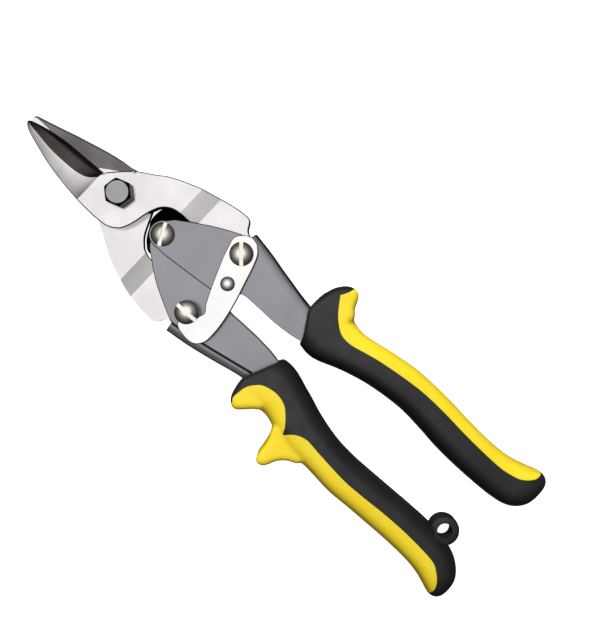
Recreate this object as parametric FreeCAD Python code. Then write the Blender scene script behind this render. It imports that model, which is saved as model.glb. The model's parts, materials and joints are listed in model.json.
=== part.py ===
import FreeCAD, Part
import math
import os

# Compound-leverage snips lying flat. X runs to the blade tips, +Y to the handle with the
# finger hook, +Z to the bolt-head side. Plan sizes are drawn about the main bolt in mm for a
# 250 mm tool and scaled by K; thicknesses are not scaled.

TOOL_LENGTH = 250.0  # nominal length of the tool
K = TOOL_LENGTH / 250.0

# --- thicknesses and clearances
BLADE_T = 4.0  # forged blade and its tang
SHEET_T = 1.5  # pressed handle channel
LATCH_T = 1.6  # latch plate
GRIP_T = 20.4  # moulded grip, top to bottom
GAP = 0.10  # between faces that slide past each other
FACE_GAP = 0.02  # half the gap at the shear plane
RUN = 0.05  # radial clearance of a running fit
OPEN_RUN = 0.40  # radial clearance of the front tang on its rivet

# --- fasteners
BOLT_R = 3.0  # M6 pivot bolt
HEX_AF = 10.0
HEAD_H = 4.2
NUT_H = 5.0
WASHER_T = 1.0
RIVET_R = 2.5
NECK_R = 2.0  # neck of the latch post under its head
HEAD_R = 4.7
DOME_H = 2.1
SLOT_W = 1.5  # screwdriver slot in a domed head
SLOT_DEPTH = 1.5
PIVOT_SLOT_TURN = -63.0  # direction of each slot from X, as the head was left when it was set
LEFT_SLOT_TURN = 2.0
RIGHT_SLOT_TURN = -46.6
BUSH_WALL = 0.9

# --- pivots in plan
P0 = (0.0, 0.0)
P1 = (-23.6, 0.0)
P2 = (-51.6, -15.6)
P3 = (-51.6, 15.6)

# --- heights
TANG_Z = BLADE_T / 2
IN_Z = TANG_Z + GAP  # inner face of the left channel
IN_TOP = IN_Z + SHEET_T
OUT_Z = IN_TOP + GAP  # inner face of the right channel
OUT_TOP = OUT_Z + SHEET_T
LATCH_Z = OUT_TOP + GAP
LATCH_TOP = LATCH_Z + LATCH_T
HEAD_Z = LATCH_TOP + GAP
WAVE_T = 0.5  # free height of the wave washer


def vec(x, y, z=0.0):
    return FreeCAD.Vector(x * K, y * K, z)


def curve(points):
    """One edge through the points: a straight line for two, a smooth curve for more."""
    vs = [vec(*p) for p in points]
    if len(vs) == 2:
        return Part.LineSegment(vs[0], vs[1]).toShape()
    spline = Part.BSplineCurve()
    spline.interpolate(Points=vs)
    return spline.toShape()


def region(*runs):
    """Face bounded by runs of points, each run starting where the last one ended."""
    edges = []
    for n, run in enumerate(runs):
        end = runs[(n + 1) % len(runs)][0]
        points = list(run)
        if math.dist(points[-1], end) > 1e-6:
            points.append(end)
        edges.append(curve(points))
    return Part.Face(Part.Wire(edges))


def slab(face, z0, z1):
    lifted = face.copy()
    lifted.translate(FreeCAD.Vector(0, 0, z0))
    return lifted.extrude(FreeCAD.Vector(0, 0, z1 - z0))


def disc(p, r, z0, z1):
    return Part.makeCylinder(r, z1 - z0, vec(p[0], p[1], z0))


def box(x0, x1, y0, y1, z0, z1):
    return Part.makeBox((x1 - x0) * K, (y1 - y0) * K, z1 - z0, vec(x0, y0, z0))


def ring(p, r_out, r_in, z0, z1):
    return disc(p, r_out, z0, z1).cut(disc(p, r_in, z0, z1))


def arc(p, r, a0, a1, steps=6):
    """Points on an arc about p, from a0 to a1 degrees."""
    out = []
    for n in range(steps + 1):
        a = math.radians(a0 + (a1 - a0) * n / steps)
        out.append((p[0] + r * math.cos(a), p[1] + r * math.sin(a)))
    return out


def mirrored(points):
    return [(x, -y) for x, y in reversed(points)]


def hexagon(af, z0, z1):
    corner = af / math.sqrt(3.0)
    points = [
        FreeCAD.Vector(corner * math.cos(math.radians(a)), corner * math.sin(math.radians(a)), z0)
        for a in range(20, 381, 60)
    ]
    return Part.Face(Part.makePolygon(points)).extrude(FreeCAD.Vector(0, 0, z1 - z0))


def crowned(shape, af, z0, z1, top, bottom):
    """Turns the corners of a hexagonal head or nut to 30 degree crowns."""
    flat = af * 0.46
    out = af * 0.62
    rise = (out - flat) * math.tan(math.radians(30.0))
    low = rise if bottom else 0.0
    high = rise if top else 0.0
    profile = Part.makePolygon(
        [
            FreeCAD.Vector(0, 0, z0),
            FreeCAD.Vector(flat if bottom else out, 0, z0),
            FreeCAD.Vector(out, 0, z0 + low),
            FreeCAD.Vector(out, 0, z1 - high),
            FreeCAD.Vector(flat if top else out, 0, z1),
            FreeCAD.Vector(0, 0, z1),
            FreeCAD.Vector(0, 0, z0),
        ]
    )
    body = Part.Face(profile).revolve(FreeCAD.Vector(0, 0, 0), FreeCAD.Vector(0, 0, 1), 360)
    return shape.common(body)


def dome(p, r, z, height, side):
    """Rivet head: a short cylinder under a spherical cap. side is +1 for up, -1 for down."""
    rim = height * 0.25
    cap = height - rim
    ball = (r * r + cap * cap) / (2 * cap)
    centre = vec(p[0], p[1], z + side * (height - ball))
    low = min(z, z + side * height)
    return disc(p, r, low, low + height).common(Part.makeSphere(ball, centre))


def slotted(shape, p, top, turn):
    """Cuts a screwdriver slot across a head; turn is its direction in degrees from X."""
    reach = 2 * HEAD_R
    corner = FreeCAD.Vector(-reach, -SLOT_W / 2, -SLOT_DEPTH)
    slot_cut = Part.makeBox(2 * reach, SLOT_W, 2 * SLOT_DEPTH, corner)
    slot_cut.rotate(FreeCAD.Vector(0, 0, 0), FreeCAD.Vector(0, 0, 1), turn)
    slot_cut.translate(vec(p[0], p[1], top))
    return shape.cut(slot_cut)


# ---------------------------------------------------------------- blades

REACH = 80.0  # beyond the blades on every side
BEND_START = -22.5  # the tang is offset to the middle plane between these two
BEND_END = -30.5
EDGE_LAND = 0.45  # height of the cutting edge before the hollow starts
TANG_END_R = 7.6  # round end of a tang about its rivet


def joggled(face, side):
    """Blade blank: outside the shear plane ahead of the offset bend, centred behind it."""
    near = FACE_GAP * side
    far = BLADE_T * side
    tang = TANG_Z * side
    outline = [
        (REACH, near),
        (REACH, far),
        (BEND_START, far),
        (BEND_END, tang),
        (-REACH, tang),
        (-REACH, -tang),
        (BEND_END, -tang),
        (BEND_START, near),
    ]
    points = [FreeCAD.Vector(x * K, -REACH * K, z) for x, z in outline]
    points.append(points[0])
    bar = Part.Face(Part.makePolygon(points)).extrude(FreeCAD.Vector(0, 2 * REACH * K, 0))
    return slab(face, -2 * BLADE_T, 2 * BLADE_T).common(bar)


def ground(stations, side):
    """Cutting part: sections across the blade, flat on the shear plane, hollow on the other."""
    wires = []
    for x, edge, ridge, outer, top in stations:
        way = 1.0 if outer > edge else -1.0
        hollow = (edge + ridge) / 2
        dip = EDGE_LAND + (top - EDGE_LAND) * 0.34
        points = [
            (edge, FACE_GAP),
            (edge, EDGE_LAND),
            (hollow, dip),
            (ridge, top),
            (outer - way * 1.0, top - 0.35),
            (outer, top - 0.95),
            (outer, FACE_GAP),
        ]
        vs = [vec(x, y, z * side) for y, z in points]
        wires.append(Part.makePolygon(vs + [vs[0]]))
    return Part.makeLoft(wires, True, False)


FRONT_STATIONS = [
    (10.3, -1.5, 0.6, 13.5, 3.85),
    (15.0, -1.2, 4.6, 13.2, 3.75),
    (20.0, -0.9, 5.8, 12.7, 3.65),
    (25.0, -0.6, 6.1, 12.0, 3.5),
    (30.0, -0.3, 6.2, 11.0, 3.3),
    (35.0, 0.4, 5.9, 9.7, 3.05),
    (40.0, 1.3, 5.3, 8.3, 2.7),
    (44.0, 2.4, 4.8, 7.0, 2.35),
    (47.4, 3.5, 4.1, 5.0, 1.9),
]
front_face = region(
    [(10.6, 13.45), (5.0, 13.7), (0.0, 13.6), (-5.0, 12.9), (-9.0, 10.4), (-11.0, 7.0),
     (-12.2, 3.0), (-12.8, 0.0), (-14.0, -4.0), (-16.0, -7.5), (-20.0, -10.0), (-26.5, -10.5),
     (-35.0, -9.4), (-45.0, -8.6)],
    arc(P2, TANG_END_R, 66.0, 285.0, 10),
    [(-47.4, -23.6), (-46.3, -24.6), (-45.4, -26.2), (-44.4, -27.5), (-43.0, -28.1), (-40.0, -28.0)],
    [(-40.0, -28.0), (-35.0, -27.2), (-30.0, -26.0), (-20.0, -23.0), (-10.0, -18.6),
     (-5.0, -15.2), (0.0, -12.0), (2.0, -10.5), (5.0, -7.8), (8.0, -4.5), (10.6, -1.5)],
    [(10.6, -1.5), (10.6, 13.45)],
)
front_blank = joggled(front_face, 1)
front_blade = front_blank.fuse(ground(FRONT_STATIONS, 1)).removeSplitter()
front_blade = front_blade.cut(disc(P0, BOLT_R + RUN, -1.0, BLADE_T + 1.0))
tang_hole_r = RIVET_R + BUSH_WALL + OPEN_RUN
front_blade = front_blade.cut(disc(P2, tang_hole_r, -BLADE_T, BLADE_T))

BACK_STATIONS = [
    (9.0, 2.8, -1.0, -10.1, 3.85),
    (15.0, 0.6, -3.5, -8.9, 3.75),
    (20.0, 0.6, -3.4, -7.6, 3.6),
    (25.0, 0.9, -2.6, -6.2, 3.4),
    (30.0, 1.2, -1.8, -4.8, 3.15),
    (35.0, 1.9, -0.6, -3.2, 2.85),
    (40.0, 2.7, 0.6, -1.7, 2.5),
    (44.0, 3.2, 1.6, -0.5, 2.2),
    (47.3, 3.4, 2.2, 0.7, 1.9),
]
back_face = region(
    [(9.4, 2.6), (8.0, 4.5), (5.0, 7.8), (2.0, 10.8), (0.5, 13.6), (-5.0, 16.8), (-10.0, 19.7),
     (-15.0, 22.3), (-20.0, 24.2), (-25.0, 25.8), (-30.0, 26.8), (-35.0, 27.5), (-40.0, 27.9)],
    [(-40.0, 27.9), (-43.0, 28.0), (-44.4, 27.5), (-45.4, 26.2), (-46.3, 24.6), (-47.4, 23.6)],
    mirrored(arc(P2, TANG_END_R, 66.0, 285.0, 10)),
    [(-45.0, 8.6), (-35.0, 9.6), (-27.0, 11.0), (-22.0, 10.3), (-19.0, 8.0), (-17.0, 5.5),
     (-15.3, 2.0), (-13.6, -2.0), (-11.6, -6.4), (-8.4, -9.6), (-4.0, -11.6), (2.0, -11.3),
     (5.0, -10.6), (9.4, -10.1)],
    [(9.4, -10.1), (9.4, 2.6)],
)
back_blade = joggled(back_face, -1).fuse(ground(BACK_STATIONS, -1)).removeSplitter()
back_blade = back_blade.cut(disc(P0, BOLT_R, -BLADE_T - 1.0, 1.0))
bush_hole_r = RIVET_R + BUSH_WALL + RUN
back_blade = back_blade.cut(disc(P3, bush_hole_r, -BLADE_T, BLADE_T))

# ---------------------------------------------------------------- main bolt

WASHER_FACE_H = 0.4  # round face under the bolt head
COLLAR_H = 1.3  # plain collar of the nut, holding the insert
INSERT_H = 1.6
INSERT_R = BOLT_R + 0.8
INSERT_IN = 0.3  # the insert sits this far inside the collar's rim

head_z = BLADE_T + GAP / 2
head_top = head_z + HEAD_H
washer_z = -BLADE_T
nut_z = washer_z - WASHER_T
nut_end = nut_z - NUT_H
hex_end = nut_end + COLLAR_H
insert_z = nut_end + INSERT_IN

head_blank = hexagon(HEX_AF, head_z + WASHER_FACE_H, head_top)
pivot_bolt = crowned(head_blank, HEX_AF, head_z, head_top, True, False)
pivot_bolt = pivot_bolt.fuse(disc(P0, HEX_AF * 0.47, head_z, head_z + WASHER_FACE_H))
pivot_bolt = pivot_bolt.fuse(disc(P0, BOLT_R, nut_end + 0.2, head_z + 0.2)).removeSplitter()
pivot_washer = ring(P0, 6.2, BOLT_R, nut_z, washer_z)
nut = crowned(hexagon(HEX_AF, hex_end, nut_z), HEX_AF, hex_end, nut_z, False, True)
nut = nut.fuse(disc(P0, HEX_AF * 0.44, nut_end, hex_end))
nut = nut.cut(disc(P0, BOLT_R, nut_end, nut_z))
nut_insert = ring(P0, INSERT_R, BOLT_R, insert_z, insert_z + INSERT_H)
pivot_lock_nut = nut.cut(disc(P0, INSERT_R, nut_end, insert_z + INSERT_H))

# ---------------------------------------------------------------- handle channels

NOSE_R = 5.6
WEB_X = -50.0  # the web starts behind the tang's corner
FAR = 200.0  # beyond the channel's rear end
WIDE = 40.0  # beyond the channel's open side
RIGHT_SHOULDER_W = 3.6  # pressed margin of the upper flange beside the web, and how far it drops
RIGHT_SHOULDER_DROP = 0.25
LEFT_SHOULDER_W = 3.5
LEFT_SHOULDER_DROP = 0.75


def channel(plan, web, z_in):
    """Pressed channel: plan outline, a web along its outer edge and open on the inner side.

    web lists the points of the web's outer line from front to rear."""
    z_out = z_in + SHEET_T
    body = slab(plan, -z_out, z_out)
    bend = [
        e
        for e in body.Edges
        if abs(abs(e.BoundBox.ZMin) - z_out) < 1e-6
        and e.BoundBox.ZLength < 1e-6
        and e.BoundBox.XLength > 60 * K
        and abs(e.valueAt((e.FirstParameter + e.LastParameter) / 2).y) > 17 * K
    ]
    body = body.makeFillet(SHEET_T + 0.5, bend)
    way = 1.0 if web[0][1] > 0 else -1.0
    inner = [(x, y - way * SHEET_T) for x, y in web]
    front = (WEB_X, way * WIDE)
    hollow = region(
        inner,
        [inner[-1], (-FAR, inner[-1][1])],
        [(-FAR, inner[-1][1]), (-FAR, -way * WIDE)],
        [(-FAR, -way * WIDE), (0.0, -way * WIDE)],
        [(0.0, -way * WIDE), (0.0, way * WIDE)],
        [(0.0, way * WIDE), front],
        [front, inner[0]],
    )
    return body.cut(slab(hollow, -z_in, z_in))


def shouldered(body, web, z_out, wide, drop):
    """Lowers the margin of the upper flange beside the web to a shoulder."""
    way = 1.0 if web[0][1] > 0 else -1.0
    crease = [(x, y - way * wide) for x, y in web]
    margin = region(
        crease,
        [crease[-1], (-FAR, crease[-1][1])],
        [(-FAR, crease[-1][1]), (-FAR, way * WIDE)],
        [(-FAR, way * WIDE), (WEB_X, way * WIDE)],
        [(WEB_X, way * WIDE), crease[0]],
    )
    return body.cut(slab(margin, z_out - drop, z_out + 1.0))


RIGHT_WEB = [(-50.0, -25.5), (-60.0, -24.0), (-70.0, -22.0), (-86.0, -19.4), (-100.0, -19.8),
             (-120.0, -22.4), (-140.0, -24.4), (-165.0, -24.6), (-187.0, -25.6)]
RIGHT_INNER = [(-187.0, -20.0), (-165.0, -18.6), (-140.0, -18.6), (-120.0, -15.6), (-106.0, -11.4),
               (-91.0, -6.6), (-80.0, -5.0), (-70.0, -4.8), (-63.0, -4.4)]
right_nose = arc(P1, NOSE_R, 100.0, -60.0, 8)
right_plan = region(
    RIGHT_WEB,
    [RIGHT_WEB[-1], RIGHT_INNER[0]],
    RIGHT_INNER,
    [(-63.0, -4.4), (-59.0, -1.6), (-56.0, 1.4), (-52.0, 2.8)],
    [(-52.0, 2.8), (-40.0, 4.3), (-30.0, 5.4), right_nose[0]],
    right_nose,
    [right_nose[-1], (-23.0, -7.5), (-27.0, -10.3), (-30.0, -12.3), (-35.0, -15.5),
     (-40.0, -18.3), (-45.0, -20.8), (-49.6, -22.8)],
    [(-49.6, -22.8), (-50.0, -25.5)],
)
right_handle_frame = channel(right_plan, RIGHT_WEB, OUT_Z)
right_handle_frame = shouldered(right_handle_frame, RIGHT_WEB, OUT_TOP, RIGHT_SHOULDER_W, RIGHT_SHOULDER_DROP)

LEFT_WEB = [(-50.0, 27.0), (-60.0, 25.5), (-70.0, 23.4), (-86.0, 19.8), (-100.0, 19.4),
            (-120.0, 21.4), (-140.0, 23.4), (-165.0, 22.8), (-187.0, 24.0)]
LEFT_INNER = [(-187.0, 18.4), (-165.0, 17.2), (-140.0, 17.6), (-120.0, 14.8), (-106.0, 10.6),
              (-91.0, 5.4), (-80.0, 4.2), (-70.0, 4.2), (-63.0, 4.2)]
left_nose = arc(P1, NOSE_R, -100.0, 60.0, 8)
left_plan = region(
    LEFT_WEB,
    [LEFT_WEB[-1], LEFT_INNER[0]],
    LEFT_INNER,
    [(-63.0, 4.2), (-59.0, 1.4), (-56.0, -1.4), (-52.0, -2.8)],
    [(-52.0, -2.8), (-40.0, -4.3), (-30.0, -5.4), left_nose[0]],
    left_nose,
    [left_nose[-1], (-23.0, 7.6), (-27.0, 10.6), (-30.0, 12.9), (-35.0, 16.2),
     (-40.0, 18.8), (-45.0, 21.2), (-49.6, 23.2)],
    [(-49.6, 23.2), (-50.0, 27.0)],
)
left_handle_frame = channel(left_plan, LEFT_WEB, IN_Z)
left_handle_frame = shouldered(left_handle_frame, LEFT_WEB, IN_TOP, LEFT_SHOULDER_W, LEFT_SHOULDER_DROP)

# the left channel's lower flange has a broad nose that backs the notch between the blades
notch_nose = region(
    [(-31.0, -12.0), (-24.0, -12.0), (-18.0, -10.4), (-14.9, -7.0), (-14.2, -3.0), (-14.7, 0.0),
     (-15.9, 2.0), (-17.6, 5.2), (-19.5, 7.5), (-22.4, 9.6), (-27.0, 10.4), (-31.0, 12.0)],
    [(-31.0, 12.0), (-31.0, -12.0)],
)
left_handle_frame = left_handle_frame.fuse(slab(notch_nose, -IN_TOP, -IN_Z)).removeSplitter()
# relief in the lower flange for the offset bend of the back blade
bend_relief = box(-31.0, -10.0, 9.6, 30.0, -IN_TOP - 1.0, -IN_Z + 0.02)
left_handle_frame = left_handle_frame.cut(bend_relief)

for pivot in (P1, P3):
    left_handle_frame = left_handle_frame.cut(disc(pivot, RIVET_R, -OUT_TOP, OUT_TOP))
right_handle_frame = right_handle_frame.cut(disc(P1, RIVET_R + RUN, -OUT_TOP - 1, OUT_TOP + 1))
right_handle_frame = right_handle_frame.cut(disc(P2, RIVET_R, -OUT_TOP - 1, OUT_TOP + 1))

# ---------------------------------------------------------------- rivets, bushes, washers

UPSET_R = HEAD_R * 0.9  # the formed end of a rivet is a little smaller than its head
UPSET_H = DOME_H * 0.8
SPACER_R = 5.8
stack = OUT_TOP + GAP
handle_pivot_rivet = disc(P1, RIVET_R, -stack, stack)
handle_pivot_rivet = handle_pivot_rivet.fuse(dome(P1, HEAD_R, stack, DOME_H, 1))
handle_pivot_rivet = handle_pivot_rivet.fuse(dome(P1, UPSET_R, -stack, UPSET_H, -1)).removeSplitter()
handle_pivot_rivet = slotted(handle_pivot_rivet, P1, stack + DOME_H, PIVOT_SLOT_TURN)
bush_z = IN_Z - 0.02
handle_pivot_bush = ring(P1, RIVET_R + BUSH_WALL, RIVET_R, -bush_z, bush_z)

left_tang_rivet = disc(P3, RIVET_R, -IN_TOP, OUT_TOP).fuse(disc(P3, NECK_R, OUT_TOP, HEAD_Z))
left_tang_rivet = left_tang_rivet.fuse(dome(P3, HEAD_R, HEAD_Z, DOME_H, 1))
left_tang_rivet = left_tang_rivet.fuse(dome(P3, UPSET_R, -IN_TOP, UPSET_H, -1)).removeSplitter()
left_tang_rivet = slotted(left_tang_rivet, P3, HEAD_Z + DOME_H, LEFT_SLOT_TURN)
left_tang_bush = ring(P3, RIVET_R + BUSH_WALL, RIVET_R, -bush_z, bush_z)
latch_post_collar = ring(P3, HEAD_R - 0.3, RIVET_R, IN_TOP, OUT_TOP)

wave_z = LATCH_TOP + 0.05
right_head_z = wave_z + WAVE_T + 0.05
right_tang_rivet = disc(P2, RIVET_R, -OUT_TOP, right_head_z)
right_tang_rivet = right_tang_rivet.fuse(dome(P2, HEAD_R, right_head_z, DOME_H, 1))
right_tang_rivet = right_tang_rivet.fuse(dome(P2, UPSET_R, -OUT_TOP, UPSET_H, -1)).removeSplitter()
right_tang_rivet = slotted(right_tang_rivet, P2, right_head_z + DOME_H, RIGHT_SLOT_TURN)
long_bush = OUT_Z - 0.02
right_tang_bush = ring(P2, RIVET_R + BUSH_WALL, RIVET_R, -long_bush, long_bush)
spacer_low = TANG_Z + GAP / 2
right_tang_spacers = Part.makeCompound(
    [
        ring(P2, SPACER_R, RIVET_R + BUSH_WALL, spacer_low, long_bush),
        ring(P2, SPACER_R, RIVET_R + BUSH_WALL, -long_bush, -spacer_low),
    ]
)
dish = Part.makePolygon(
    [
        vec(P2[0], P2[1], wave_z) + FreeCAD.Vector(r, 0, z)
        for r, z in ((4.3, 0.0), (4.3, 0.3), (2.6, WAVE_T), (2.6, WAVE_T - 0.3), (4.3, 0.0))
    ]
)
latch_spring_washer = Part.Face(dish).revolve(vec(*P2), FreeCAD.Vector(0, 0, 1), 360)

# ---------------------------------------------------------------- latch

LOCK_SWING = 3.5  # degrees from rest to full engagement
LIP = 0.6  # the lip ends this far ahead of the slot's middle, clear of the post's path
slot_r = (NECK_R + 0.2) / K
slot_back = (P3[1] - P2[1]) * math.sin(math.radians(LOCK_SWING))
slot = (P3[0] - slot_back - GAP / K, P3[1])
latch_plan = region(
    [(-53.6, -22.6), (-56.4, -19.8), (-58.4, -15.0), (-60.2, -9.0), (-62.0, -3.0), (-63.2, 1.5),
     (-64.5, 8.0), (-65.1, 14.0), (-64.8, 19.0), (-62.6, 22.3), (-59.5, 23.3), (-56.0, 23.0)],
    [(-56.0, 23.0), (-53.5, 22.4), (-51.9, 21.3), (-51.7, 20.2)],
    [(-51.7, 20.2), (slot[0] + LIP, slot[1] + slot_r)],
    [(slot[0] + LIP, slot[1] + slot_r), (slot[0], slot[1] + slot_r)],
    [(slot[0], slot[1] + slot_r), (slot[0] - slot_r * 0.71, slot[1] + slot_r * 0.71),
     (slot[0] - slot_r, slot[1]), (slot[0] - slot_r - 0.4, 13.4), (-56.8, 11.0), (-55.0, 8.5),
     (-53.0, 4.5), (-51.0, 0.0), (-49.0, -5.0), (-47.0, -10.0), (-45.8, -14.0)],
    [(-45.8, -14.0), (-44.9, -18.4), (-47.4, -21.8), (-50.4, -23.2), (-53.6, -22.6)],
)
latch_plate = slab(latch_plan, LATCH_Z, LATCH_TOP)
DIMPLE = (-55.6, -3.4)
DIMPLE_R = 2.9
DIMPLE_H = 0.9
ball = (DIMPLE_R ** 2 + DIMPLE_H ** 2) / (2 * DIMPLE_H)
bump = Part.makeSphere(ball, vec(DIMPLE[0], DIMPLE[1], LATCH_TOP + DIMPLE_H - ball))
bump = bump.common(disc(DIMPLE, DIMPLE_R + 1.0, LATCH_TOP - 0.1, LATCH_TOP + 2))
cup = Part.makeSphere(ball, vec(DIMPLE[0], DIMPLE[1], LATCH_Z + DIMPLE_H * 0.8 - ball))
latch_plate = latch_plate.fuse(bump).cut(cup).removeSplitter()
latch_plate = latch_plate.cut(disc(P2, RIVET_R + RUN, LATCH_Z - 1, LATCH_TOP + 2))

# ---------------------------------------------------------------- return spring

WIRE_R = 0.45
COIL_R = 4.3
LEG_END = (-44.0, 8.0)
SPRING_Z = 1.3


def torsion_spring():
    """Two and a half turns about the handle pivot, with a straight leg at each end."""
    dx = (LEG_END[0] - P1[0]) * K
    dy = LEG_END[1] * K
    lean = math.degrees(math.atan2(dy, dx))
    open_angle = math.degrees(math.acos(COIL_R / math.hypot(dx, dy)))
    first = -lean + open_angle
    last = lean - open_angle + 720.0
    rise = 2 * SPRING_Z
    helix = Part.makeHelix(rise * 360.0 / (last - first), rise, COIL_R)
    start = FreeCAD.Vector(COIL_R, 0, 0)
    wire_end = Part.Wire(Part.makeCircle(WIRE_R, start, FreeCAD.Vector(0, 1, 0)))
    coil = Part.Wire(helix.Edges).makePipeShell([wire_end], True, True)
    coil.rotate(FreeCAD.Vector(0, 0, 0), FreeCAD.Vector(0, 0, 1), first)
    coil.translate(FreeCAD.Vector(0, 0, -SPRING_Z))
    spring = coil
    for angle, y, z in ((first, -dy, -SPRING_Z), (last, dy, SPRING_Z)):
        a = math.radians(angle)
        root = FreeCAD.Vector(COIL_R * math.cos(a), COIL_R * math.sin(a), z)
        tip = FreeCAD.Vector(dx, y, z)
        leg = Part.makeCylinder(WIRE_R, (tip - root).Length, root, tip - root)
        spring = spring.fuse(Part.makeSphere(WIRE_R, root)).fuse(leg).fuse(Part.makeSphere(WIRE_R, tip))
    spring.translate(vec(*P1))
    return spring


return_spring = torsion_spring()

# ---------------------------------------------------------------- grips


SQUARENESS = 2.7  # 2 would be an ellipse
ROUND_POINTS = 20
GUARD_H = 0.40 * GRIP_T  # half heights of the two guards and of the finger hook
HOOK_H = 0.34 * GRIP_T


def section(x, y_in, y_out, half):
    """Closed rounded section of a grip across X."""
    mid = (y_in + y_out) / 2
    wide = abs(y_out - y_in) / 2
    points = []
    for n in range(ROUND_POINTS):
        a = 2 * math.pi * (n + 0.5) / ROUND_POINTS
        c = math.cos(a)
        s = math.sin(a)
        y = mid + wide * math.copysign(abs(c) ** (2 / SQUARENESS), c)
        z = half * math.copysign(abs(s) ** (2 / SQUARENESS), s)
        points.append(vec(x, y, z))
    loop = Part.BSplineCurve()
    loop.interpolate(Points=points, PeriodicFlag=True)
    return Part.Wire(loop.toShape())


def moulded(stations):
    half = GRIP_T / 2
    return Part.makeLoft([section(x, a, b, half * f) for x, a, b, f in stations], True, False)


def rounded_slab(face, half, radius):
    body = slab(face, -half, half)
    rims = [e for e in body.Edges if e.BoundBox.ZLength < 1e-6]
    return body.makeFillet(radius, rims)


def loop_region(points):
    """Face inside a smooth closed curve."""
    spline = Part.BSplineCurve()
    spline.interpolate(Points=[vec(*p) for p in points], PeriodicFlag=True)
    return Part.Face(Part.Wire(spline.toShape()))


# stations: x, inner edge, outer edge, share of the full height
LEFT_STATIONS = [
    (-82.0, 5.8, 24.0, 0.84), (-88.0, 4.0, 25.8, 0.9), (-93.0, 3.0, 25.6, 0.94),
    (-97.0, 2.9, 24.6, 0.96), (-101.0, 3.7, 24.0, 0.97), (-106.0, 5.3, 25.2, 0.98),
    (-111.0, 6.8, 27.0, 1.0), (-116.0, 8.5, 28.3, 1.0), (-121.0, 9.9, 28.4, 1.0),
    (-126.0, 11.0, 28.1, 1.0), (-132.0, 11.9, 28.4, 1.0), (-140.0, 12.2, 28.9, 1.0),
    (-150.0, 11.8, 28.3, 0.99), (-160.0, 11.3, 27.8, 0.98), (-170.0, 10.8, 27.4, 0.98),
    (-180.0, 10.6, 27.5, 0.98), (-187.0, 11.2, 28.3, 0.98), (-193.0, 12.8, 30.0, 0.98),
    (-197.0, 15.4, 31.2, 0.92), (-199.6, 18.4, 29.8, 0.76), (-200.8, 21.2, 27.4, 0.5),
]
left_body = moulded(LEFT_STATIONS)
left_guard = loop_region(
    [(-85.0, 20.0), (-85.4, 23.5), (-86.4, 27.2), (-88.6, 29.8), (-91.2, 30.2), (-93.4, 28.3),
     (-96.0, 25.6), (-99.0, 22.5), (-97.0, 18.0), (-91.0, 15.0), (-86.5, 16.5)]
)
left_hook = loop_region(
    [(-107.0, 25.5), (-108.7, 29.5), (-109.5, 34.0), (-110.0, 37.8), (-111.4, 39.5), (-113.8, 39.1),
     (-115.4, 37.0), (-117.0, 33.6), (-120.0, 30.6), (-124.0, 28.2), (-123.0, 22.0), (-115.0, 19.0),
     (-108.0, 20.5)]
)
left_grip_all = left_body.fuse(rounded_slab(left_guard, GUARD_H, 1.5))
left_grip_all = left_grip_all.fuse(rounded_slab(left_hook, HOOK_H, 1.2))
EYE = (-184.7, 8.7)
EYE_HOLE_R = 3.0
EYE_R = 6.0
EYE_T = 7.0
eye_top = EYE_T / 2
eye = disc(EYE, EYE_R, -eye_top, eye_top)
eye = eye.fuse(box(-192.0, -177.0, 10.6, 16.0, -eye_top, eye_top))
left_grip_all = left_grip_all.fuse(eye)
for low, high in ((eye_top, GRIP_T), (-GRIP_T, -eye_top)):
    left_grip_all = left_grip_all.cut(disc(EYE, EYE_R - 1.0, low, high))
left_grip_all = left_grip_all.cut(disc(EYE, EYE_HOLE_R, -GRIP_T, GRIP_T))
left_mouth = region(
    [(-92.6, 1.0), (-91.0, 5.0), (-88.0, 12.0), (-84.6, 19.4), (-84.9, 24.0), (-80.0, 32.0)],
    [(-80.0, 32.0), (-78.0, 1.0)],
    [(-78.0, 1.0), (-92.6, 1.0)],
)
left_grip_all = left_grip_all.cut(slab(left_mouth, -GRIP_T, GRIP_T)).cut(left_handle_frame)

RIGHT_STATIONS = [
    (-82.0, -7.0, -26.0, 0.84), (-88.0, -6.0, -28.6, 0.9), (-93.0, -5.2, -29.6, 0.94),
    (-98.0, -4.7, -28.2, 0.96), (-102.0, -5.6, -26.9, 0.97), (-106.0, -7.2, -26.1, 0.98),
    (-110.0, -8.8, -26.3, 0.99), (-115.0, -10.4, -27.2, 1.0), (-120.0, -11.8, -28.3, 1.0),
    (-125.0, -12.8, -29.2, 1.0), (-132.0, -13.8, -30.2, 1.0), (-140.0, -14.4, -30.6, 1.0),
    (-150.0, -13.9, -30.5, 0.99), (-160.0, -13.0, -29.9, 0.98), (-170.0, -12.8, -29.5, 0.98),
    (-180.0, -13.1, -29.9, 0.98), (-187.0, -13.6, -31.2, 0.98), (-193.0, -14.6, -33.2, 0.98),
    (-197.0, -16.6, -34.6, 0.92), (-199.8, -20.0, -33.4, 0.76), (-201.0, -23.6, -30.6, 0.5),
]
right_body = moulded(RIGHT_STATIONS)
right_guard = loop_region(
    [(-85.2, -19.5), (-85.4, -24.0), (-86.4, -29.5), (-88.4, -33.2), (-91.0, -35.6), (-94.2, -36.3),
     (-96.6, -34.6), (-98.4, -30.6), (-101.0, -27.0), (-99.0, -20.0), (-92.0, -16.0), (-87.0, -16.5)]
)
right_grip_all = right_body.fuse(rounded_slab(right_guard, GUARD_H, 1.8))
right_mouth = region(
    [(-93.0, -3.0), (-91.0, -8.6), (-88.0, -13.5), (-85.2, -18.0), (-84.9, -24.0), (-80.0, -32.0)],
    [(-80.0, -32.0), (-78.0, -3.0)],
    [(-78.0, -3.0), (-93.0, -3.0)],
)
right_grip_all = right_grip_all.cut(slab(right_mouth, -GRIP_T, GRIP_T)).cut(right_handle_frame)

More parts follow.
